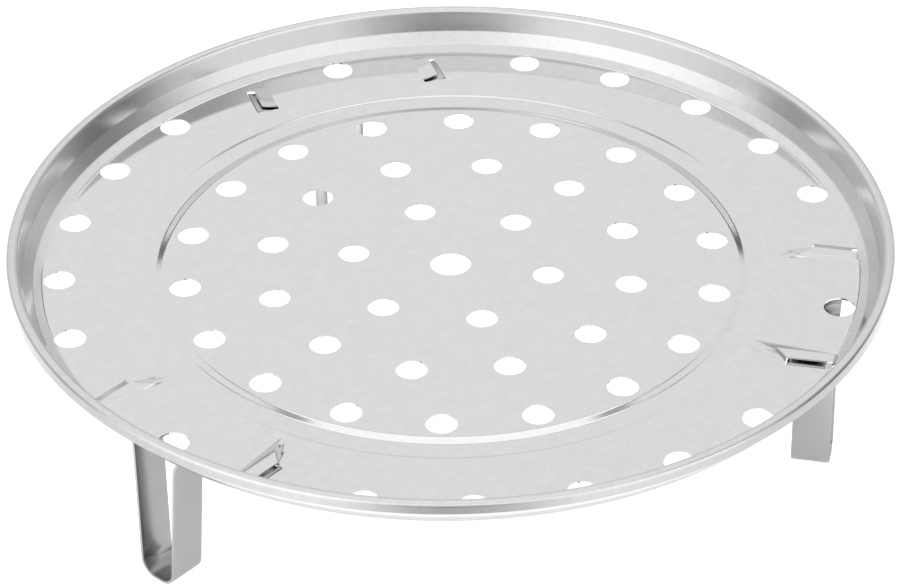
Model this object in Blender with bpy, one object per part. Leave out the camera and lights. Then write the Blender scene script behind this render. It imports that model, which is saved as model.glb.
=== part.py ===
# Steamer rack: a pierced stainless plate standing on three sprung strap legs.
#
# The plate is one pressed sheet: a flat disc with a centre hole and four rings of steam
# holes, a shallow step, a raised wall and a lip turned down at its edge. Six louvres are
# lanced up from its flange, in three pairs. Each leg is one bent strap, whose two ends
# slant up into the windows under a pair of louvres and stop at the windows' far edges.
#
# Frame: metres, +Z up, the feet stand on z = 0, the plate is centred on the Z axis.
# The rear leg is on +Y.

import math

import bmesh
import bpy
from mathutils import Matrix, Vector

MM = 0.001

# Plate: sheet, disc and the pressed ring in it
SHEET = 0.5 * MM
PLATE_TOP = 50.0 * MM
STEP_RADIUS = 78.8 * MM
STEP_WIDTH = 3.6 * MM
STEP_DROP = 0.40 * MM
CREASE_RADIUS = 85.5 * MM
CREASE_WIDTH = 1.1 * MM
CREASE_RISE = 0.15 * MM

# Plate: wall and lip
WALL_FOOT_RADIUS = 114.5 * MM
WALL_TOP_RADIUS = 115.7 * MM
COVE_RADIUS = 3.2 * MM
LIP_RADIUS = 119.0 * MM
LIP_RISE = 10.5 * MM
LIP_BEND = 1.1 * MM
HEM_DEPTH = 2.9 * MM

# Steam holes
CENTRE_HOLE_DIAMETER = 11.0 * MM
HOLE_DIAMETER = 8.4 * MM
INNER_RING_RADIUS = 26.7 * MM
SECOND_RING_RADIUS = 49.2 * MM
THIRD_RING_RADIUS = 71.6 * MM
OUTER_RING_RADIUS = 105.0 * MM
INNER_RING_COUNT = 6
SECOND_RING_COUNT = 12
THIRD_RING_COUNT = 18
OUTER_RING_COUNT = 24
HOLE_START = math.radians(90)
HOLE_SIDES = 16

# Legs: one strap each, three round the plate; the rear one sits further in than the others
REAR_STRAP_RADIUS = 96.05 * MM
FRONT_STRAP_RADIUS = 99.75 * MM
LEG_PLACES = (("leg_rear", 90, REAR_STRAP_RADIUS),
              ("leg_front_left", 210, FRONT_STRAP_RADIUS),
              ("leg_front_right", 330, FRONT_STRAP_RADIUS))
STRAP = 0.8 * MM
STRAP_WIDTH = 10.3 * MM
FOOT_FLAT = 2.0 * MM
TAB_RAMP_START = 2.1 * MM
TAB_RISE = 0.25 * MM
TAB_GAP = 0.4 * MM

# The U of each leg, bent by hand: how far it hangs off the middle of its louvres
# (clockwise from above is positive), half its width, the bend at its top, and how far
# an arm sags where it meets the U
REAR_U_OFFSET = -3.0 * MM
REAR_U_HALF_WIDTH = 6.1 * MM
LEFT_U_OFFSET = 9.2 * MM
LEFT_U_HALF_WIDTH = 5.4 * MM
RIGHT_U_OFFSET = 0.4 * MM
RIGHT_U_HALF_WIDTH = 4.9 * MM
TOP_BEND_RADIUS = 7.0 * MM
ARM_SAG = 0.6 * MM
LONG_ARM_SAG = 4.6 * MM

# Louvres: a low tongue on either side of each leg, beside the two holes that the outer ring
# leaves out. Beside the rear leg its inner end is cut free, a little back from the window's
# end. Beside the others it is drawn down slantwise to the flange.
LOUVRE_STEP = math.radians(15)
LOUVRE_HINGE = 21.9 * MM
TONGUE_WIDTH = 4.4 * MM
SLOT_WIDTH = 2.0 * MM
LOUVRE_RISE = 1.1 * MM
REAR_TONGUE_RAMP = 6.0 * MM
FRONT_TONGUE_RAMP = 2.3 * MM
OPEN_SETBACK = 1.8 * MM
SLANT_REACH = 3.4 * MM
INNER_TAPER = 0.6 * MM
OUTER_TAPER = 1.4 * MM
LEG_PLAY = 1.1 * MM
LAP = 0.4 * MM
LAP_DEPTH = 0.05 * MM
TONGUE_PARTS = (0.0, 0.13, 0.26, 0.4, 0.52, 0.76, 1.0)
TAPER_STEPS = 3

# Fits and smoothness
CLEARANCE = 0.3 * MM
PLATE_STEPS = 72
BEND_STEPS = 3
FOOT_STEPS = 6
TOP_STEPS = 5
SHARP_ANGLE = math.radians(35)
PUNCH_DEPTH = 3.0 * MM
MERGE_DISTANCE = 0.005 * MM

# Steel
PLATE_COLOUR = (0.68, 0.68, 0.68, 1.0)
PLATE_ROUGHNESS = 0.24
LEG_COLOUR = (0.60, 0.60, 0.60, 1.0)
LEG_ROUGHNESS = 0.28

# Levels worked out from the sizes above
FLANGE_TOP = PLATE_TOP - STEP_DROP + CREASE_RISE
LIP_TOP = PLATE_TOP + LIP_RISE
LOUVRE_MOUTH = LOUVRE_HINGE + TONGUE_WIDTH
WINDOW_EDGE = LOUVRE_MOUTH + SLOT_WIDTH

# Ends of a window, measured outward from the middle of the strap
WINDOW_INNER = -STRAP_WIDTH / 2 - CLEARANCE
WINDOW_OUTER = STRAP_WIDTH / 2 + LEG_PLAY + CLEARANCE


def clear_scene():
    for obj in list(bpy.data.objects):
        bpy.data.objects.remove(obj, do_unlink=True)


def steel(name, colour, roughness):
    material = bpy.data.materials.new(name)
    material.use_nodes = True
    shader = material.node_tree.nodes["Principled BSDF"]
    shader.inputs["Base Color"].default_value = colour
    shader.inputs["Metallic"].default_value = 1.0
    shader.inputs["Roughness"].default_value = roughness
    return material


def add_object(name, bm, material=None):
    mesh = bpy.data.meshes.new(name)
    bm.to_mesh(mesh)
    bm.free()
    obj = bpy.data.objects.new(name, mesh)
    bpy.context.scene.collection.objects.link(obj)
    if material:
        mesh.materials.append(material)
    return obj


def add_helper(name, bm):
    """a hidden shape that only cuts or joins"""
    obj = add_object(name, bm)
    obj.hide_render = True
    obj.display_type = "WIRE"
    return obj


def shade(obj):
    obj.data.shade_smooth()
    obj.data.set_sharp_from_angle(angle=SHARP_ANGLE)


def rounded_path(corners):
    """points along straight runs, with each corner (x, z, radius, steps) rounded by an arc"""
    points = []
    last = len(corners) - 1
    for index, (x, z, radius, steps) in enumerate(corners):
        here = Vector((x, z))
        if index in (0, last) or radius == 0:
            points.append(here)
            continue
        back = (Vector(corners[index - 1][:2]) - here).normalized()
        ahead = (Vector(corners[index + 1][:2]) - here).normalized()
        half = back.angle(ahead) / 2
        reach = radius / math.tan(half)
        centre = here + (back + ahead).normalized() * (radius / math.sin(half))
        first = here + back * reach - centre
        turn = math.pi - 2 * half
        if first.x * back.y - first.y * back.x > 0:
            turn = -turn
        for step in range(steps + 1):
            angle = turn * step / steps
            points.append(centre + Matrix.Rotation(angle, 2) @ first)
    return points


def offset_path(points, distance):
    """the path moved sideways to its left by distance, mitred at its corners"""
    moved = []
    for index, here in enumerate(points):
        before = points[max(index - 1, 0)]
        after = points[min(index + 1, len(points) - 1)]
        run_in = (here - before).normalized() if index else (after - here).normalized()
        run_out = (after - here).normalized() if index < len(points) - 1 else run_in
        side_in = Vector((-run_in.y, run_in.x))
        side_out = Vector((-run_out.y, run_out.x))
        mitre = (side_in + side_out).normalized()
        moved.append(here + mitre * (distance / mitre.dot(side_in)))
    return moved


def sheet_outline(points, thickness):
    """a closed outline of a sheet whose middle follows the points"""
    left = offset_path(points, thickness / 2)
    right = offset_path(points, -thickness / 2)
    return left + right[::-1]


def plate_path():
    """middle of the sheet from the centre hole to the hem, as radius and height"""
    middle = SHEET / 2
    disc = PLATE_TOP - middle
    trough = disc - STEP_DROP
    flange = trough + CREASE_RISE
    lip = LIP_TOP - middle
    outer = LIP_RADIUS - middle
    return rounded_path([
        (CENTRE_HOLE_DIAMETER / 2, disc, 0, 0),
        (STEP_RADIUS - STEP_WIDTH / 2, disc, 0, 0),
        (STEP_RADIUS + STEP_WIDTH / 2, trough, 0, 0),
        (CREASE_RADIUS - CREASE_WIDTH / 2, trough, 0, 0),
        (CREASE_RADIUS + CREASE_WIDTH / 2, flange, 0, 0),
        (WALL_FOOT_RADIUS, flange, COVE_RADIUS, BEND_STEPS),
        (WALL_TOP_RADIUS, lip, LIP_BEND, BEND_STEPS),
        (outer, lip, LIP_BEND, BEND_STEPS),
        (outer, lip - HEM_DEPTH + middle, 0, 0),
    ])


def spun_sheet(points, thickness, steps):
    bm = bmesh.new()
    verts = [bm.verts.new((p.x, 0, p.y)) for p in sheet_outline(points, thickness)]
    edges = [bm.edges.new((verts[i - 1], verts[i])) for i in range(len(verts))]
    bmesh.ops.spin(bm, geom=verts + edges, cent=(0, 0, 0), axis=(0, 0, 1),
                   angle=2 * math.pi, steps=steps, use_merge=True)
    bmesh.ops.remove_doubles(bm, verts=bm.verts, dist=MERGE_DISTANCE)
    bmesh.ops.recalc_face_normals(bm, faces=bm.faces)
    return bm


def leg_frame(azimuth, radius):
    """local X along the tangent, local Y outward, at the middle of the strap"""
    turn = Matrix.Rotation(math.radians(azimuth) - math.pi / 2, 4, "Z")
    return turn @ Matrix.Translation((0, radius, 0))


def louvre_frames():
    """a frame for each louvre: X points from the leg's middle to the mouth, Y outward"""
    for name, azimuth, radius in LEG_PLACES:
        for side in (-1, 1):
            yield name, leg_frame(azimuth, radius) @ Matrix.Diagonal((side, 1, 1, 1))


def add_box(bm, low, high, frame):
    size = Vector(high) - Vector(low)
    middle = (Vector(high) + Vector(low)) / 2
    place = frame @ Matrix.Translation(middle) @ Matrix.Diagonal((*size, 1))
    bmesh.ops.create_cube(bm, size=1.0, matrix=place)


def hole_places():
    """radius and angle of each hole in the rings; louvres take six places in the outer one"""
    rings = ((INNER_RING_RADIUS, INNER_RING_COUNT), (SECOND_RING_RADIUS, SECOND_RING_COUNT),
             (THIRD_RING_RADIUS, THIRD_RING_COUNT), (OUTER_RING_RADIUS, OUTER_RING_COUNT))
    for radius, count in rings:
        for index in range(count):
            angle = HOLE_START + 2 * math.pi * index / count
            if radius == OUTER_RING_RADIUS and near_louvre(angle):
                continue
            yield radius, angle


def near_louvre(angle):
    for _, azimuth, _ in LEG_PLACES:
        for side in (-1, 1):
            gap = angle - math.radians(azimuth) - side * LOUVRE_STEP
            if abs(math.remainder(gap, 2 * math.pi)) < math.pi / OUTER_RING_COUNT:
                return True
    return False


def hole_cutter():
    """round punches for the holes and a window under each louvre, as one tool"""
    bm = bmesh.new()
    for radius, angle in hole_places():
        place = Matrix.Rotation(angle, 4, "Z") @ Matrix.Translation((radius, 0, PLATE_TOP - SHEET))
        bmesh.ops.create_cone(bm, cap_ends=True, segments=HOLE_SIDES, radius1=HOLE_DIAMETER / 2,
                              radius2=HOLE_DIAMETER / 2, depth=PUNCH_DEPTH, matrix=place)
    for _, frame in louvre_frames():
        add_box(bm, (LOUVRE_HINGE, WINDOW_INNER, FLANGE_TOP - PUNCH_DEPTH / 2),
                (WINDOW_EDGE, WINDOW_OUTER, FLANGE_TOP + PUNCH_DEPTH / 2), frame)
    bmesh.ops.recalc_face_normals(bm, faces=bm.faces)
    return add_helper("hole_cutter", bm)


def swell(amount):
    """smooth rise from 0 to 1"""
    amount = min(max(amount, 0.0), 1.0)
    return amount * amount * (3 - 2 * amount)


def cut_free(name):
    """whether the tongues beside that leg have a free inner end"""
    return name == "leg_rear"


def tongue_start(name, across):
    """where a tongue begins, at that distance from the middle of the leg"""
    if cut_free(name):
        return WINDOW_INNER + OPEN_SETBACK
    share = min((LOUVRE_MOUTH - across) / TONGUE_WIDTH, 1.0)
    return WINDOW_INNER - INNER_TAPER - SLANT_REACH * share


def tongue_height(name, across, along):
    """rise of the tongue above the flange; along is the distance outward from the strap"""
    ramp = REAR_TONGUE_RAMP if cut_free(name) else FRONT_TONGUE_RAMP
    arch = math.sin(math.pi / 2 * min(max((across - LOUVRE_HINGE) / ramp, 0.0), 1.0))
    outer = swell((WINDOW_OUTER + OUTER_TAPER - along) / OUTER_TAPER)
    inner = 1.0 if cut_free(name) else swell((along - tongue_start(name, across)) / INNER_TAPER)
    return LOUVRE_RISE * arch * outer * inner


def tongue_rows(name, across):
    """distances outward from the strap at which the tongue has a row of points"""
    start = tongue_start(name, across)
    rows = [start]
    if not cut_free(name):
        rows.insert(0, start - LAP)
        rows += [start + INNER_TAPER * step / TAPER_STEPS for step in range(1, TAPER_STEPS + 1)]
    rows += [WINDOW_OUTER + OUTER_TAPER * step / TAPER_STEPS for step in range(TAPER_STEPS + 1)]
    rows.append(WINDOW_OUTER + OUTER_TAPER + LAP)
    return rows


def louvre_forms():
    """the raised tongues, whose laps lie inside the sheet round their windows"""
    bm = bmesh.new()
    acrosses = [LOUVRE_HINGE - LAP]
    acrosses += [LOUVRE_HINGE + TONGUE_WIDTH * part for part in TONGUE_PARTS]
    thickness = SHEET - 2 * LAP_DEPTH
    for name, frame in louvre_frames():
        sheets = []
        for drop in (LAP_DEPTH, LAP_DEPTH + thickness):
            columns = []
            for across in acrosses:
                column = []
                for along in tongue_rows(name, across):
                    height = FLANGE_TOP + tongue_height(name, across, along) - drop
                    column.append(bm.verts.new(frame @ Vector((across, along, height))))
                columns.append(column)
            sheets.append(columns)
        upper, lower = sheets
        wide = len(acrosses) - 1
        long = len(upper[0]) - 1
        for i in range(wide):
            for j in range(long):
                bm.faces.new((upper[i][j], upper[i][j + 1], upper[i + 1][j + 1], upper[i + 1][j]))
                bm.faces.new((lower[i][j], lower[i + 1][j], lower[i + 1][j + 1], lower[i][j + 1]))
            for j in (0, long):
                bm.faces.new((upper[i][j], upper[i + 1][j], lower[i + 1][j], lower[i][j]))
        for j in range(long):
            for i in (0, wide):
                bm.faces.new((upper[i][j], upper[i][j + 1], lower[i][j + 1], lower[i][j]))
    bmesh.ops.recalc_face_normals(bm, faces=bm.faces)
    return add_helper("louvre_forms", bm)


def make_plate(material):
    obj = add_object("steamer_plate", spun_sheet(plate_path(), SHEET, PLATE_STEPS), material)
    cut = obj.modifiers.new("holes and windows", "BOOLEAN")
    cut.operation = "DIFFERENCE"
    cut.solver = "EXACT"
    cut.object = hole_cutter()
    join = obj.modifiers.new("louvres", "BOOLEAN")
    join.operation = "UNION"
    join.solver = "EXACT"
    join.object = louvre_forms()
    shade(obj)
    return obj


def leg_path(offset, half_width, left_sag, right_sag):
    """middle of the strap from tab to tab, as clockwise distance and height"""
    middle = STRAP / 2
    arm = FLANGE_TOP - SHEET - CLEARANCE - middle
    ramp = LOUVRE_HINGE + TAB_RAMP_START
    tip = WINDOW_EDGE - TAB_GAP
    tip_height = FLANGE_TOP + TAB_RISE - middle
    left = offset - half_width + middle
    right = offset + half_width - middle
    foot_bend = half_width - middle - FOOT_FLAT / 2
    return rounded_path([
        (-tip, tip_height, 0, 0),
        (-ramp, arm, 0, 0),
        (left, arm - left_sag, TOP_BEND_RADIUS, TOP_STEPS),
        (left, middle, foot_bend, FOOT_STEPS),
        (right, middle, foot_bend, FOOT_STEPS),
        (right, arm - right_sag, TOP_BEND_RADIUS, TOP_STEPS),
        (ramp, arm, 0, 0),
        (tip, tip_height, 0, 0),
    ])


def make_leg(name, place, path, material):
    bm = bmesh.new()
    near = -STRAP_WIDTH / 2
    verts = [bm.verts.new((p.x, near, p.y - PLATE_TOP)) for p in sheet_outline(path, STRAP)]
    face = bm.faces.new(verts)
    grown = bmesh.ops.extrude_face_region(bm, geom=[face])
    moved = [item for item in grown["geom"] if isinstance(item, bmesh.types.BMVert)]
    bmesh.ops.translate(bm, verts=moved, vec=(0, STRAP_WIDTH, 0))
    bmesh.ops.recalc_face_normals(bm, faces=bm.faces)
    obj = add_object(name, bm, material)
    obj.matrix_world = place @ Matrix.Translation((0, 0, PLATE_TOP))
    shade(obj)
    return obj


def main():
    clear_scene()
    make_plate(steel("pressed_steel", PLATE_COLOUR, PLATE_ROUGHNESS))
    bends = {
        "leg_rear": (REAR_U_OFFSET, REAR_U_HALF_WIDTH, ARM_SAG, ARM_SAG),
        "leg_front_left": (LEFT_U_OFFSET, LEFT_U_HALF_WIDTH, LONG_ARM_SAG, ARM_SAG),
        "leg_front_right": (RIGHT_U_OFFSET, RIGHT_U_HALF_WIDTH, ARM_SAG, ARM_SAG),
    }
    for name, azimuth, radius in LEG_PLACES:
        material = steel(name + "_steel", LEG_COLOUR, LEG_ROUGHNESS)
        make_leg(name, leg_frame(azimuth, radius), leg_path(*bends[name]), material)


main()
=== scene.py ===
# Steamer rack: the finished pressed plate and its three strap legs, in a plain white studio.
#
# The sheet of the plate is turned ring by ring, punched, and its six louvres are joined to it.
# Each leg is one strap, extruded along its bends and thickened.
# Lengths are metres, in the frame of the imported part: +Z up, the rear leg on +Y.

import math

import bpy
from mathutils import Matrix, Vector


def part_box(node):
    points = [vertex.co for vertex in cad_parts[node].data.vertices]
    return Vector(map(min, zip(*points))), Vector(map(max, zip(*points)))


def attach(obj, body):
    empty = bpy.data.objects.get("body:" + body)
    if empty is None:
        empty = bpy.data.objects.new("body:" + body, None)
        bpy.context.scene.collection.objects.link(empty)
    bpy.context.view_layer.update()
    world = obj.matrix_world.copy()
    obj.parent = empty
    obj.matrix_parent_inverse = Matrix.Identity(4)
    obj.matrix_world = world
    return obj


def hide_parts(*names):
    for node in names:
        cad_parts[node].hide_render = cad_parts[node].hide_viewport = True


MM = 0.001

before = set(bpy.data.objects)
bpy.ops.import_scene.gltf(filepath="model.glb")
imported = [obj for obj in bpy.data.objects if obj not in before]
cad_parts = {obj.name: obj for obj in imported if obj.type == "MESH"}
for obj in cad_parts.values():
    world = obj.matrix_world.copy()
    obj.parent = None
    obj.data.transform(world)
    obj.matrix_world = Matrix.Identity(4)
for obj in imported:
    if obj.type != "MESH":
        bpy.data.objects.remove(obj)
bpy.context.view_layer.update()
bpy.ops.object.select_all(action="DESELECT")
plate_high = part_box("steamer_plate")[1]
rear_low, rear_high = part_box("leg_rear")

# Plate: sheet, disc and the pressed rings in it
SHEET = 0.5 * MM
LIP_TOP = plate_high.z
WALL_HEIGHT = 10.5 * MM
PLATE_TOP = LIP_TOP - WALL_HEIGHT
STEP_RADIUS = 78.45 * MM
STEP_WIDTH = 2.1 * MM
STEP_DROP = 0.40 * MM
STEP_FILLET = 5.0 * MM
CREASE_RADIUS = 85.5 * MM
CREASE_WIDTH = 1.1 * MM
CREASE_RISE = 0.15 * MM
CREASE_FILLET = 4.0 * MM
FLANGE_TOP = PLATE_TOP - STEP_DROP + CREASE_RISE

# Plate: wall and lip; the flange rises gently to the wall's foot, and the wall has a fold in it
SLOPE_RADIUS = 109.2 * MM
SLOPE_FILLET = 4.0 * MM
WALL_FOOT_RADIUS = 112.0 * MM
WALL_FOOT_RISE = 1.2 * MM
WALL_FOLD_RADIUS = 114.6 * MM
WALL_FOLD_RISE = 4.5 * MM
WALL_FOLD_FILLET = 0.8 * MM
WALL_TOP_RADIUS = 115.7 * MM
COVE_RADIUS = 1.5 * MM
LIP_RADIUS = plate_high.x
LIP_BEND = 1.1 * MM
HEM_BEND = 0.9 * MM
HEM_FLARE = 0.8 * MM
HEM_DEPTH = 2.5 * MM

# Steam holes
CENTRE_HOLE_DIAMETER = 11.0 * MM
HOLE_DIAMETER = 8.4 * MM
HOLE_RINGS = ((26.7 * MM, 6), (49.2 * MM, 12), (71.6 * MM, 18), (105.0 * MM, 24))
OUTER_RING_RADIUS = HOLE_RINGS[-1][0]
OUTER_RING_COUNT = HOLE_RINGS[-1][1]
HOLE_START = math.radians(90)
PUNCH_DEPTH = 3.0 * MM

# Legs: one strap each, three round the plate; the rear one sits further in than the others
LEG_AZIMUTHS = {"rear": 90, "front_left": 210, "front_right": 330}
STRAP_RADII = {"rear": 96.05 * MM, "front_left": 99.75 * MM, "front_right": 99.75 * MM}
STRAP = 0.8 * MM
STRAP_WIDTH = rear_high.y - rear_low.y
STRAP_EDGE = 0.12 * MM
STRAP_EDGE_SEGMENTS = 2
STRAP_EDGE_ANGLE = math.radians(60)
FOOT_FLAT = 2.0 * MM
TAB_RISE = 0.25 * MM
TOP_BEND_RADIUS = 7.0 * MM
CLEARANCE = 0.3 * MM
SAME_PLACE = STRAP / 100

# The U of each leg: how far it hangs off the middle of its louvres (clockwise from above is
# positive), half its width, how far its left and right arms sag where they meet it, and how far
# its left and right sides lean out at the top
LEG_BENDS = {
    "rear": (-3.0 * MM, 6.1 * MM, 0.6 * MM, 0.6 * MM, 0.0, 0.0),
    "front_left": (9.4 * MM, 5.8 * MM, 4.6 * MM, 3.6 * MM, 3.5 * MM, 0.5 * MM),
    "front_right": (0.4 * MM, 4.9 * MM, 0.6 * MM, 0.6 * MM, 0.0, 0.0),
}

# Louvres: a low tongue lanced up on either side of each leg, over a window for the strap.
# The tongue's inner end is cut free beside the rear leg, and drawn down slantwise beside the
# other two.
LOUVRE_STEP = math.radians(15)
LOUVRE_HINGE = 21.9 * MM
LOUVRE_MOUTH = 26.3 * MM
WINDOW_EDGE = 28.3 * MM
TONGUE_FILLET = 0.12 * MM
LOUVRE_OUTER_TAPER = 1.4 * MM
# Rise of the tongues left and right of each leg, and width of the slope from their hinge to the top
TONGUES = {
    "rear": ((1.1 * MM, 6.0 * MM), (1.1 * MM, 6.0 * MM)),
    "front_left": ((0.7 * MM, 0.7 * MM), (0.4 * MM, 0.9 * MM)),
    "front_right": ((0.4 * MM, 0.9 * MM), (1.1 * MM, 0.7 * MM)),
}
OPEN_SETBACKS = {"rear": 1.8 * MM}
SLANT_REACH = 3.4 * MM
SLANT_WALL = 0.6 * MM
STRAP_RISE_START = 24.0 * MM
TAB_GAP = 0.1 * MM
LEG_PLAY = 1.1 * MM
WINDOW_INNER = -STRAP_WIDTH / 2 - CLEARANCE
WINDOW_OUTER = STRAP_WIDTH / 2 + LEG_PLAY + CLEARANCE
# The tongues run into the sheet round them by the lap, their faces just inside the sheet's own
LAP = 0.4 * MM
LAP_DEPTH = 0.02 * MM

# Fineness of the meshes
PLATE_SIDES = 288
HOLE_SIDES = 40
STEP_SEGMENTS = 5
COVE_SEGMENTS = 14
LIP_SEGMENTS = 9
FOOT_SEGMENTS = 18
TOP_BEND_SEGMENTS = 12
GUARD = 0.3 * MM
LONG_RUN = 1.5 * MM
TONGUE_CELLS_ACROSS = 30
TONGUE_CELLS_ALONG = 60
SMOOTH_ANGLE = math.radians(32)

# Camera, from the photo's own view of the holes
CAMERA_AZIMUTH = math.radians(-17.73)
CAMERA_ELEVATION = math.radians(34.96)
CAMERA_ROLL = math.radians(-0.75)
CAMERA_DISTANCE = 1022.7 * MM
CAMERA_AIM = Vector((-4.45, -13.03, 50.0)) * MM
CAMERA_LENS = 153.8


# Outlines


def rounded_path(corners):
    """points along straight runs, with each corner (x, z, radius, segments) rounded by an arc"""
    points = []
    last = len(corners) - 1
    for index, (x, z, radius, segments) in enumerate(corners):
        here = Vector((x, z))
        if index in (0, last) or radius == 0:
            points.append(here)
            continue
        back = (Vector(corners[index - 1][:2]) - here).normalized()
        ahead = (Vector(corners[index + 1][:2]) - here).normalized()
        half = back.angle(ahead) / 2
        centre = here + (back + ahead).normalized() * (radius / math.sin(half))
        first = here + back * (radius / math.tan(half)) - centre
        turn = math.pi - 2 * half
        if first.x * back.y - first.y * back.x > 0:
            turn = -turn
        for segment in range(segments + 1):
            points.append(centre + Matrix.Rotation(turn * segment / segments, 2) @ first)
    return points


def guarded(points):
    """the path with a point added just inside both ends of every long straight run"""
    result = [points[0]]
    for start, end in zip(points, points[1:]):
        run = end - start
        if run.length > LONG_RUN:
            step = run.normalized() * GUARD
            result += [start + step, end - step]
        result.append(end)
    return result


def plate_line():
    """middle of the sheet from the centre hole to the hem, as radius and height"""
    middle = SHEET / 2
    disc = PLATE_TOP - middle
    trough = disc - STEP_DROP
    flange = FLANGE_TOP - middle
    lip = LIP_TOP - middle
    outer = LIP_RADIUS - middle
    return guarded(rounded_path([
        (CENTRE_HOLE_DIAMETER / 2, disc, 0, 0),
        (STEP_RADIUS - STEP_WIDTH / 2, disc, STEP_FILLET, STEP_SEGMENTS),
        (STEP_RADIUS + STEP_WIDTH / 2, trough, STEP_FILLET, STEP_SEGMENTS),
        (CREASE_RADIUS - CREASE_WIDTH / 2, trough, CREASE_FILLET, STEP_SEGMENTS),
        (CREASE_RADIUS + CREASE_WIDTH / 2, flange, CREASE_FILLET, STEP_SEGMENTS),
        (SLOPE_RADIUS, flange, SLOPE_FILLET, COVE_SEGMENTS),
        (WALL_FOOT_RADIUS, flange + WALL_FOOT_RISE, COVE_RADIUS, COVE_SEGMENTS),
        (WALL_FOLD_RADIUS, flange + WALL_FOLD_RISE, WALL_FOLD_FILLET, STEP_SEGMENTS),
        (WALL_TOP_RADIUS, lip, LIP_BEND, LIP_SEGMENTS),
        (outer - HEM_FLARE, lip, HEM_BEND, LIP_SEGMENTS),
        (outer, LIP_TOP - HEM_DEPTH, 0, 0),
    ]))


def leg_line(offset, half_width, left_sag, right_sag, left_lean, right_lean):
    """middle of the strap from tip to tip, as clockwise distance and height"""
    middle = STRAP / 2
    arm = FLANGE_TOP - SHEET - CLEARANCE - middle
    ramp = STRAP_RISE_START
    tip = WINDOW_EDGE - TAB_GAP
    tip_height = FLANGE_TOP + TAB_RISE - middle
    left = offset - half_width + middle
    right = offset + half_width - middle
    foot_bend = half_width - middle - FOOT_FLAT / 2
    return rounded_path([
        (-tip, tip_height, 0, 0),
        (-ramp, arm, 0, 0),
        (left - left_lean, arm - left_sag, TOP_BEND_RADIUS, TOP_BEND_SEGMENTS),
        (left, middle, foot_bend, FOOT_SEGMENTS),
        (right, middle, foot_bend, FOOT_SEGMENTS),
        (right + right_lean, arm - right_sag, TOP_BEND_RADIUS, TOP_BEND_SEGMENTS),
        (ramp, arm, 0, 0),
        (tip, tip_height, 0, 0),
    ])


# Places


def leg_place(name):
    """local X clockwise along the tangent, local Y outward, at the middle of the strap"""
    turn = Matrix.Rotation(math.radians(LEG_AZIMUTHS[name]) - math.pi / 2, 4, "Z")
    return turn @ Matrix.Translation((0, STRAP_RADII[name], 0))


def louvre_places(name):
    """a frame for each louvre of a leg: X points from the leg's middle to the mouth, Y outward"""
    return [leg_place(name) @ Matrix.Diagonal((side, 1, 1, 1)) for side in (-1, 1)]


def near_louvre(angle):
    for azimuth in LEG_AZIMUTHS.values():
        for side in (-1, 1):
            gap = angle - math.radians(azimuth) - side * LOUVRE_STEP
            if abs(math.remainder(gap, 2 * math.pi)) < math.pi / OUTER_RING_COUNT:
                return True
    return False


def hole_places():
    """radius and angle of each hole in the rings; louvres take six places in the outer one"""
    for radius, count in HOLE_RINGS:
        for index in range(count):
            angle = HOLE_START + 2 * math.pi * index / count
            if radius == OUTER_RING_RADIUS and near_louvre(angle):
                continue
            yield radius, angle


# Modelling


def choose(obj):
    bpy.ops.object.select_all(action="DESELECT")
    obj.select_set(True)
    bpy.context.view_layer.objects.active = obj


def thicken(obj, thickness, offset):
    choose(obj)
    wall = obj.modifiers.new("thickness", "SOLIDIFY")
    wall.thickness = thickness
    wall.offset = offset
    wall.use_even_offset = True
    bpy.ops.object.modifier_apply(modifier=wall.name)


def combine(obj, tool, operation):
    """cut the tool from the object or join it on, then throw the tool away"""
    choose(obj)
    step = obj.modifiers.new("combine", "BOOLEAN")
    step.operation = operation
    step.solver = "EXACT"
    step.object = tool
    bpy.ops.object.modifier_apply(modifier=step.name)
    bpy.data.objects.remove(tool, do_unlink=True)


def smooth(obj):
    choose(obj)
    bpy.ops.object.shade_smooth_by_angle(angle=SMOOTH_ANGLE)


def turned_sheet():
    """a circle round the centre hole, extruded and widened ring by ring"""
    line = plate_line()
    bpy.ops.mesh.primitive_circle_add(vertices=PLATE_SIDES, radius=line[0].x, enter_editmode=True)
    bpy.ops.transform.translate(value=(0, 0, line[0].y))
    for old, new in zip(line, line[1:]):
        bpy.ops.mesh.extrude_edges_move()
        bpy.ops.transform.translate(value=(0, 0, new.y - old.y))
        bpy.ops.transform.resize(value=(new.x / old.x, new.x / old.x, 1))
    bpy.ops.mesh.select_all(action="SELECT")
    bpy.ops.mesh.normals_make_consistent(inside=False)
    bpy.ops.object.mode_set(mode="OBJECT")
    sheet = bpy.context.object
    sheet.name = "pressed_plate"
    thicken(sheet, SHEET, 0)
    return sheet


def punches():
    """a round punch for every hole in the rings"""
    level = PLATE_TOP - SHEET / 2
    tools = []
    for radius, angle in hole_places():
        spot = (radius * math.cos(angle), radius * math.sin(angle), level)
        bpy.ops.mesh.primitive_cylinder_add(vertices=HOLE_SIDES, radius=HOLE_DIAMETER / 2,
                                            depth=PUNCH_DEPTH, location=spot)
        tools.append(bpy.context.object)
    return joined(tools)


def window_blocks():
    """a block for the window under each louvre"""
    blocks = []
    for name in LEG_AZIMUTHS:
        for place in louvre_places(name):
            bpy.ops.mesh.primitive_cube_add(size=1)
            block = bpy.context.object
            across = (LOUVRE_HINGE + WINDOW_EDGE) / 2
            along = (WINDOW_INNER + WINDOW_OUTER) / 2
            middle = (across, along, FLANGE_TOP)
            size = (WINDOW_EDGE - LOUVRE_HINGE, WINDOW_OUTER - WINDOW_INNER, PUNCH_DEPTH, 1)
            block.data.transform(place @ Matrix.Translation(middle) @ Matrix.Diagonal(size))
            blocks.append(block)
    return joined(blocks)


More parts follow.
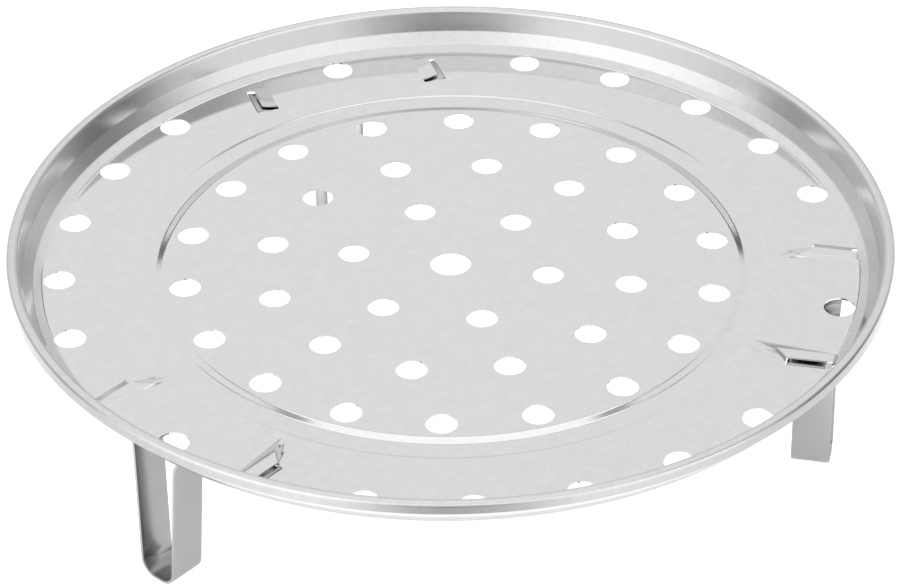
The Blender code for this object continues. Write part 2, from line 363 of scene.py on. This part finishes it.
def joined(parts):
    """one object of several, with its faces pointing out"""
    bpy.ops.object.select_all(action="DESELECT")
    for part in parts:
        part.select_set(True)
    bpy.context.view_layer.objects.active = parts[0]
    bpy.ops.object.join()
    bpy.ops.object.mode_set(mode="EDIT")
    bpy.ops.mesh.select_all(action="SELECT")
    bpy.ops.mesh.normals_make_consistent(inside=False)
    bpy.ops.object.mode_set(mode="OBJECT")
    return bpy.context.object


def swell(amount):
    """smooth rise from 0 to 1"""
    amount = min(max(amount, 0.0), 1.0)
    return amount * amount * (3 - 2 * amount)


def tongue_start(name, across):
    """where the tongue's inner edge is, at that distance from the middle of the leg"""
    if name in OPEN_SETBACKS:
        return WINDOW_INNER + OPEN_SETBACKS[name]
    share = min(max((LOUVRE_MOUTH - across) / (LOUVRE_MOUTH - LOUVRE_HINGE), 0.0), 1.0)
    return WINDOW_INNER - SLANT_WALL - SLANT_REACH * share


def eased(run):
    """the run where it is positive, with the corner at zero rounded"""
    if run < -TONGUE_FILLET:
        return 0.0
    if run < TONGUE_FILLET:
        return (run + TONGUE_FILLET) ** 2 / (4 * TONGUE_FILLET)
    return run


def tongue_height(name, rise, ramp, across, along):
    """rise of the tongue above the flange; along is measured outward from the strap's middle"""
    run = across - LOUVRE_HINGE
    slope = (eased(run) - eased(run - ramp)) / ramp
    outer = swell((WINDOW_OUTER + LOUVRE_OUTER_TAPER - along) / LOUVRE_OUTER_TAPER)
    if name in OPEN_SETBACKS:
        return rise * slope * outer
    inner = swell((along - tongue_start(name, across)) / SLANT_WALL)
    return rise * slope * outer * inner


def tongue(name, rise, ramp):
    """one tongue: a grid raised to its shape, lapped into the sheet where it isn't cut free"""
    end = WINDOW_OUTER + LOUVRE_OUTER_TAPER + LAP
    low = LOUVRE_HINGE - LAP
    width = LOUVRE_MOUTH - low
    lap = 0.0 if name in OPEN_SETBACKS else LAP
    bpy.ops.mesh.primitive_grid_add(x_subdivisions=TONGUE_CELLS_ACROSS,
                                    y_subdivisions=TONGUE_CELLS_ALONG, size=1)
    form = bpy.context.object
    for vertex in form.data.vertices:
        across = low + width * (vertex.co.x + 0.5)
        start = tongue_start(name, across) - lap
        along = start + (end - start) * (vertex.co.y + 0.5)
        height = tongue_height(name, rise, ramp, across, along)
        vertex.co = (across, along, FLANGE_TOP - LAP_DEPTH + height)
    thicken(form, SHEET - 2 * LAP_DEPTH, -1)
    return form


def tongues():
    """a tongue for every louvre"""
    forms = []
    for name in LEG_AZIMUTHS:
        for place, (rise, ramp) in zip(louvre_places(name), TONGUES[name]):
            form = tongue(name, rise, ramp)
            form.data.transform(place)
            forms.append(form)
    return joined(forms)


def make_plate():
    plate = turned_sheet()
    combine(plate, punches(), "DIFFERENCE")
    combine(plate, window_blocks(), "DIFFERENCE")
    combine(plate, tongues(), "UNION")
    smooth(plate)
    return plate


def make_leg(name):
    """a strap extruded along its bends, thickened, with softened edges"""
    line = leg_line(*LEG_BENDS[name])
    bpy.ops.mesh.primitive_plane_add(size=1)
    leg = bpy.context.object
    leg.name = "strap_" + name
    for vertex in leg.data.vertices:
        point = line[0] if vertex.co.x < 0 else line[1]
        vertex.co = (point.x, STRAP_WIDTH * vertex.co.y, point.y)
    bpy.ops.object.mode_set(mode="EDIT")
    bpy.ops.mesh.select_mode(type="EDGE")
    bpy.ops.mesh.select_all(action="DESELECT")
    bpy.ops.object.mode_set(mode="OBJECT")
    for edge in leg.data.edges:
        ends = [leg.data.vertices[index].co.x for index in edge.vertices]
        edge.select = max(abs(x - line[1].x) for x in ends) < SAME_PLACE
    bpy.ops.object.mode_set(mode="EDIT")
    for old, new in zip(line[1:], line[2:]):
        step = (new.x - old.x, 0, new.y - old.y)
        bpy.ops.mesh.extrude_edges_move(TRANSFORM_OT_translate={"value": step})
    bpy.ops.object.mode_set(mode="OBJECT")
    map_strap(leg, line)
    thicken(leg, STRAP, 0)
    edges = leg.modifiers.new("softened edges", "BEVEL")
    edges.width = STRAP_EDGE
    edges.segments = STRAP_EDGE_SEGMENTS
    edges.limit_method = "ANGLE"
    edges.angle_limit = STRAP_EDGE_ANGLE
    bpy.ops.object.modifier_apply(modifier=edges.name)
    leg.data.transform(leg_place(name))
    smooth(leg)
    return leg


def map_strap(leg, line):
    """lay the strap's UV map along its length, in metres"""
    lengths = [0.0]
    for old, new in zip(line, line[1:]):
        lengths.append(lengths[-1] + (new - old).length)
    layer = leg.data.uv_layers.new(name="UVMap")
    for loop in leg.data.loops:
        spot = leg.data.vertices[loop.vertex_index].co
        flat = Vector((spot.x, spot.z))
        nearest = min(range(len(line)), key=lambda index: (line[index] - flat).length)
        layer.data[loop.index].uv = (lengths[nearest], spot.y)


# Steel


def node(tree, kind, **values):
    item = tree.nodes.new(kind)
    for key, value in values.items():
        if hasattr(item, key):
            setattr(item, key, value)
        else:
            item.inputs[key.replace("_", " ")].default_value = value
    return item


def link(tree, source, target):
    tree.links.new(source, target)


def spread_value(tree, value, low, high, start=0.0, end=1.0):
    """the value carried evenly from the range start to end into the range low to high"""
    ramp = node(tree, "ShaderNodeMapRange")
    ramp.inputs["From Min"].default_value = start
    ramp.inputs["From Max"].default_value = end
    ramp.inputs["To Min"].default_value = low
    ramp.inputs["To Max"].default_value = high
    link(tree, value, ramp.inputs["Value"])
    return ramp.outputs["Result"]


def noise(tree, place, scale, detail):
    texture = node(tree, "ShaderNodeTexNoise", Scale=scale, Detail=detail)
    link(tree, place, texture.inputs["Vector"])
    return texture


def metallic(name):
    """a metal material, with its node tree and its shader"""
    material = bpy.data.materials.new(name)
    material.use_nodes = True
    shader = material.node_tree.nodes["Principled BSDF"]
    shader.inputs["Metallic"].default_value = 1.0
    return material, material.node_tree, shader


GRAIN_DETAIL = 3.0
GRAIN_DEPTH = 0.05 * MM


def rolled_grain(tree, shader, place, stretch, strength):
    """fine grain drawn out along one direction, as relief; its pattern is handed back"""
    drawn = node(tree, "ShaderNodeMapping")
    drawn.inputs["Scale"].default_value = stretch
    link(tree, place, drawn.inputs["Vector"])
    grain = noise(tree, drawn.outputs["Vector"], 1.0, GRAIN_DETAIL)
    relief = node(tree, "ShaderNodeBump", Strength=strength, Distance=GRAIN_DEPTH)
    link(tree, grain.outputs["Fac"], relief.inputs["Height"])
    link(tree, relief.outputs["Normal"], shader.inputs["Normal"])
    return grain.outputs["Fac"]


PLATE_GRAIN = (120, 2600, 120)
PLATE_GRAIN_STRENGTH = 0.06
PLATE_TONES = (0.65, 0.79)
MOTTLE_SCALE = 350.0
MOTTLE_DETAIL = 5.0
MOTTLE_ROUGHNESS = 0.75
CLOUD_SCALE = 30.0
CLOUD_DETAIL = 4.0
CLOUD_ROUGHNESS = 0.04
FLAT_ROUGHNESS = 0.06
WALL_ROUGHNESS = 0.22
SPECK_SCALE = 160.0
SPECK_START = 0.93
SPECK_SIZE = 0.09
SPECK_DARKNESS = 0.22


def plate_steel():
    """bright rolled sheet: fine grain and mottling, faint clouds and a few specks"""
    material, tree, shader = metallic("bright_pressed_steel")
    place = node(tree, "ShaderNodeTexCoord").outputs["Object"]
    rolled_grain(tree, shader, place, PLATE_GRAIN, PLATE_GRAIN_STRENGTH)
    clouds = noise(tree, place, CLOUD_SCALE, CLOUD_DETAIL)
    mottle = noise(tree, place, MOTTLE_SCALE, MOTTLE_DETAIL)
    mottle.inputs["Roughness"].default_value = MOTTLE_ROUGHNESS
    tone = spread_value(tree, mottle.outputs["Fac"], *PLATE_TONES)

    cells = node(tree, "ShaderNodeTexVoronoi", Scale=SPECK_SCALE)
    link(tree, place, cells.inputs["Vector"])
    size = spread_value(tree, cells.outputs["Color"], 0.0, SPECK_SIZE, SPECK_START)
    speck = node(tree, "ShaderNodeMath", operation="LESS_THAN")
    link(tree, cells.outputs["Distance"], speck.inputs[0])
    link(tree, size, speck.inputs[1])
    darker = node(tree, "ShaderNodeMath", operation="MULTIPLY")
    darker.inputs[1].default_value = SPECK_DARKNESS
    link(tree, speck.outputs["Value"], darker.inputs[0])
    speckled = node(tree, "ShaderNodeMath", operation="SUBTRACT")
    link(tree, tone, speckled.inputs[0])
    link(tree, darker.outputs["Value"], speckled.inputs[1])
    link(tree, speckled.outputs["Value"], shader.inputs["Base Color"])

    centred = node(tree, "ShaderNodeVectorMath", operation="MULTIPLY")
    centred.inputs[1].default_value = (1, 1, 0)
    link(tree, place, centred.inputs[0])
    radius = node(tree, "ShaderNodeVectorMath", operation="LENGTH")
    link(tree, centred.outputs["Vector"], radius.inputs[0])
    brushed = spread_value(tree, radius.outputs["Value"], FLAT_ROUGHNESS, WALL_ROUGHNESS,
                           SLOPE_RADIUS, WALL_FOOT_RADIUS)
    polish = node(tree, "ShaderNodeMath", operation="MULTIPLY_ADD")
    polish.inputs[1].default_value = CLOUD_ROUGHNESS
    link(tree, clouds.outputs["Fac"], polish.inputs[0])
    link(tree, brushed, polish.inputs[2])
    link(tree, polish.outputs["Value"], shader.inputs["Roughness"])
    return material


STRAP_GRAIN = (60, 3000, 1)
STRAP_GRAIN_STRENGTH = 0.1
STRAP_TONES = (0.43, 0.52)
STRAP_ROUGHNESS = 0.26


def strap_steel():
    """satin rolled strap: grain along its length, darker than the plate"""
    material, tree, shader = metallic("satin_strap_steel")
    place = node(tree, "ShaderNodeUVMap").outputs["UV"]
    grain = rolled_grain(tree, shader, place, STRAP_GRAIN, STRAP_GRAIN_STRENGTH)
    link(tree, spread_value(tree, grain, *STRAP_TONES), shader.inputs["Base Color"])
    shader.inputs["Roughness"].default_value = STRAP_ROUGHNESS
    return material


# Studio


def seen_directly(tree):
    """1 for camera rays, and 1 for glossy and transmission rays; both are 0 for falling light"""
    rays = node(tree, "ShaderNodeLightPath")
    metal = node(tree, "ShaderNodeMath", operation="MAXIMUM")
    link(tree, rays.outputs["Is Glossy Ray"], metal.inputs[0])
    link(tree, rays.outputs["Is Transmission Ray"], metal.inputs[1])
    return rays.outputs["Is Camera Ray"], metal.outputs["Value"]


def brightness_ramp(tree, value, stops):
    """a grey that changes evenly between the stops"""
    ramp = node(tree, "ShaderNodeValToRGB")
    while len(ramp.color_ramp.elements) < len(stops):
        ramp.color_ramp.elements.new(1.0)
    for element, (position, grey) in zip(ramp.color_ramp.elements, stops):
        element.position = position
        element.color = (grey, grey, grey, 1)
    link(tree, value, ramp.inputs["Fac"])
    return ramp.outputs["Color"]


def white_world():
    world = bpy.data.worlds.new("white_room")
    bpy.context.scene.world = world
    world.use_nodes = True
    tree = world.node_tree
    background = tree.nodes["Background"]
    background.inputs["Color"].default_value = (1, 1, 1, 1)
    camera, metal = seen_directly(tree)
    either = node(tree, "ShaderNodeMath", operation="MAXIMUM")
    link(tree, camera, either.inputs[0])
    link(tree, metal, either.inputs[1])
    link(tree, either.outputs["Value"], background.inputs["Strength"])


FLOOR_SIZE = 9.0
FLOOR_WHITE = 0.8
FLOOR_GLOW_SEEN = 0.82
FLOOR_REACH = 0.5
# How the lit floor glows in the metal, by distance from the middle of the rack as a share of
# FLOOR_REACH: dim under the plate as painted shade standing in for the plate's shadow, bright
# round it, dim again further off
FLOOR_GLOW_AND_PAINTED_SHADE_IN_METAL = ((0.0, 0.45), (0.22, 0.45), (0.27, 0.75), (0.48, 0.75), (0.62, 0.10))


def white_floor():
    """a white floor, glowing where it is looked at, so that only a faint shadow is left"""
    bpy.ops.mesh.primitive_plane_add(size=FLOOR_SIZE)
    floor = bpy.context.object
    floor.name = "floor"
    material = bpy.data.materials.new("white_floor")
    material.use_nodes = True
    tree = material.node_tree
    shader = tree.nodes["Principled BSDF"]
    shader.inputs["Base Color"].default_value = (FLOOR_WHITE,) * 3 + (1,)
    shader.inputs["Roughness"].default_value = 1.0
    shader.inputs["Specular IOR Level"].default_value = 0.0
    shader.inputs["Emission Color"].default_value = (1, 1, 1, 1)
    camera, metal = seen_directly(tree)
    seen = node(tree, "ShaderNodeMath", operation="MULTIPLY")
    seen.inputs[1].default_value = FLOOR_GLOW_SEEN
    link(tree, camera, seen.inputs[0])
    place = node(tree, "ShaderNodeTexCoord").outputs["Object"]
    distance = node(tree, "ShaderNodeVectorMath", operation="LENGTH")
    link(tree, place, distance.inputs[0])
    reach = node(tree, "ShaderNodeMath", operation="DIVIDE")
    reach.inputs[1].default_value = FLOOR_REACH
    link(tree, distance.outputs["Value"], reach.inputs[0])
    # the floor's glow in the metal by distance, with painted shade under the plate where its shadow
    # falls
    glow_and_painted_shade = brightness_ramp(tree, reach.outputs["Value"], FLOOR_GLOW_AND_PAINTED_SHADE_IN_METAL)
    glow = node(tree, "ShaderNodeMath", operation="MULTIPLY_ADD")
    link(tree, glow_and_painted_shade, glow.inputs[1])
    link(tree, metal, glow.inputs[0])
    link(tree, seen.outputs["Value"], glow.inputs[2])
    link(tree, glow.outputs["Value"], shader.inputs["Emission Strength"])
    floor.data.materials.append(material)


def glowing(name, strength):
    """a material that only glows, with its node tree and its emission node"""
    material = bpy.data.materials.new(name)
    material.use_nodes = True
    material.cycles.emission_sampling = "NONE"
    tree = material.node_tree
    tree.nodes.remove(tree.nodes["Principled BSDF"])
    glow = node(tree, "ShaderNodeEmission", Strength=strength)
    link(tree, glow.outputs["Emission"], tree.nodes["Material Output"].inputs["Surface"])
    return material, tree, glow


TENT_RADIUS = 4.0
TENT_SIDES = 96
TENT_RINGS = 48
TENT_STRENGTH = 2.0

# Brightness of the tent's cloth, as a share of its strength, by the angle from the camera's side in
# degrees, positive to the right: soft lamps stand on both sides of the camera, with dark gaps
# between them, and grey cloth hangs behind.
LOW_CLOTH = ((-180, 0.35), (-145, 0.36), (-120, 0.30), (-108, 0.22), (-96, 0.21), (-86, 0.50),
             (-60, 0.62), (-28, 0.68), (-18, 0.44), (-9, 0.17), (0, 0.12), (8, 0.20), (18, 0.36),
             (28, 0.62), (68, 0.62), (80, 0.36), (92, 0.08), (110, 0.08), (122, 0.24),
             (134, 0.34), (180, 0.35))
LOWER_CLOTH = ((-180, 0.37), (-145, 0.38), (-120, 0.35), (-108, 0.26), (-97, 0.26), (-86, 0.55),
               (-60, 0.67), (-28, 0.74), (-17, 0.47), (-8, 0.25), (4, 0.24), (13, 0.30),
               (24, 0.50), (30, 0.62), (69, 0.62), (81, 0.38), (94, 0.11), (111, 0.11),
               (123, 0.29), (137, 0.37), (180, 0.37))
MIDDLE_CLOTH = ((-180, 0.485), (-145, 0.48), (-120, 0.40), (-108, 0.31), (-98, 0.31),
                (-86, 0.60), (-60, 0.72), (-28, 0.80), (-16, 0.50), (-6, 0.33), (6, 0.33),
                (18, 0.48), (30, 0.62), (70, 0.61), (82, 0.40), (95, 0.15), (112, 0.15),
                (124, 0.33), (140, 0.44), (180, 0.485))
UPPER_CLOTH = ((-180, 0.485), (-160, 0.49), (-125, 0.56), (-100, 0.50), (-80, 0.60), (0, 0.64),
               (56, 0.60), (67, 0.40), (74, 0.17), (86, 0.17), (97, 0.33), (111, 0.42),
               (128, 0.48), (180, 0.485))
TOP_CLOTH = ((-180, 0.49), (180, 0.49))
# The cloths one above the other, by the sine of the height angle
TENT_LEVELS = (
    (0.22, LOW_CLOTH),
    (0.36, LOWER_CLOTH),
    (0.47, MIDDLE_CLOTH),
    (0.64, MIDDLE_CLOTH),
    (0.78, UPPER_CLOTH),
    (0.96, TOP_CLOTH),
)

# Panels in front of the cloth behind the rack: angle from straight behind, width, lower and upper
# height angle in degrees, distance and brightness
PANELS = {
    "lamp_frame": (0, 23, 42.3, 64, 3.8, 0.40),
    "lamp": (0, 19, 44.3, 62, 3.7, 1.32),
    "left_strip": (-13.5, 11, 27.2, 29.9, 3.8, 0.10),
    "right_strip": (13.5, 11, 27.2, 29.9, 3.8, 0.10),
    "left_strip_end": (-6, 4, 27.8, 29.6, 3.8, 0.50),
    "right_strip_end": (6, 4, 27.8, 29.6, 3.8, 0.50),
}


# Colour sockets of a mix node, by number because its sockets for numbers have the same names
MIX_FIRST_COLOUR = 6
MIX_SECOND_COLOUR = 7
MIX_RESULT = 2


def turned_stops(cloth):
    """the cloth's stops with their angles as shares of a whole turn"""
    return [(angle / 360 + 0.5, grey) for angle, grey in cloth]


def tent_cloth(tree, place):
    """the tent's brightness, blended from each of its levels to the next one up"""
    parts = node(tree, "ShaderNodeSeparateXYZ")
    link(tree, place, parts.inputs["Vector"])
    toward = node(tree, "ShaderNodeMath", operation="MULTIPLY")
    toward.inputs[1].default_value = -1
    link(tree, parts.outputs["Y"], toward.inputs[0])
    angle = node(tree, "ShaderNodeMath", operation="ARCTAN2")
    link(tree, parts.outputs["X"], angle.inputs[0])
    link(tree, toward.outputs["Value"], angle.inputs[1])
    turn = spread_value(tree, angle.outputs["Value"], 0.0, 1.0, -math.pi, math.pi)
    height, cloth = TENT_LEVELS[0]
    colour = brightness_ramp(tree, turn, turned_stops(cloth))
    for next_height, cloth in TENT_LEVELS[1:]:
        above = brightness_ramp(tree, turn, turned_stops(cloth))
        mix = node(tree, "ShaderNodeMix", data_type="RGBA")
        share = spread_value(tree, parts.outputs["Z"], 0.0, 1.0, height, next_height)
        link(tree, share, mix.inputs["Factor"])
        link(tree, colour, mix.inputs[MIX_FIRST_COLOUR])
        link(tree, above, mix.inputs[MIX_SECOND_COLOUR])
        colour = mix.outputs[MIX_RESULT]
        height = next_height
    return colour


def light_tent():
    """a lit cloth dome round the rack"""
    bpy.ops.mesh.primitive_uv_sphere_add(segments=TENT_SIDES, ring_count=TENT_RINGS,
                                         radius=TENT_RADIUS)
    tent = bpy.context.object
    tent.name = "light_tent"
    material, tree, cloth = glowing("lit_cloth", TENT_STRENGTH)
    place = node(tree, "ShaderNodeTexCoord").outputs["Object"]
    turned = node(tree, "ShaderNodeMapping", vector_type="POINT")
    turned.inputs["Rotation"].default_value = (0, 0, -CAMERA_AZIMUTH)
    turned.inputs["Scale"].default_value = (1 / TENT_RADIUS,) * 3
    link(tree, place, turned.inputs["Vector"])
    link(tree, tent_cloth(tree, turned.outputs["Vector"]), cloth.inputs["Color"])
    tent.data.materials.append(material)
    tent.visible_camera = False


def panel(name, angle, width, low, high, distance, brightness):
    """a flat glowing panel behind the rack that faces it, seen only in the metal"""
    bpy.ops.mesh.primitive_plane_add(size=1)
    board = bpy.context.object
    board.name = name
    across = 2 * distance * math.tan(math.radians(width) / 2)
    tall = 2 * distance * math.tan(math.radians(high - low) / 2)
    side = Matrix.Rotation(CAMERA_AZIMUTH - math.radians(angle), 4, "Z")
    lift = Matrix.Rotation(math.radians((low + high) / 2), 4, "X")
    stand = Matrix.Rotation(math.pi / 2, 4, "X")
    away = Matrix.Translation((0, distance, 0))
    board.data.transform(side @ lift @ away @ stand @ Matrix.Diagonal((across, tall, 1, 1)))
    board.data.materials.append(glowing(name, brightness)[0])
    board.visible_camera = False


def photo_camera():
    turn = Matrix.Rotation(CAMERA_AZIMUTH, 4, "Z")
    tilt = Matrix.Rotation(math.pi / 2 - CAMERA_ELEVATION, 4, "X")
    roll = Matrix.Rotation(CAMERA_ROLL, 4, "Z")
    back = turn @ tilt @ Vector((0, 0, CAMERA_DISTANCE))
    data = bpy.data.cameras.new("photo_camera")
    data.lens = CAMERA_LENS
    data.clip_end = 3 * TENT_RADIUS
    camera = bpy.data.objects.new("photo_camera", data)
    bpy.context.scene.collection.objects.link(camera)
    camera.matrix_world = Matrix.Translation(CAMERA_AIM + back) @ turn @ tilt @ roll
    bpy.context.scene.camera = camera


# The rack


plate = make_plate()
plate.data.materials.append(plate_steel())
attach(plate, "plate")
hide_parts("steamer_plate")

satin = strap_steel()
for name in LEG_AZIMUTHS:
    leg = make_leg(name)
    leg.data.materials.append(satin)
    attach(leg, name + "_leg")
    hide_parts("leg_" + name)

white_world()
white_floor()
light_tent()
for name, values in PANELS.items():
    panel(name, *values)
photo_camera()
bpy.context.scene.view_settings.view_transform = "Standard"
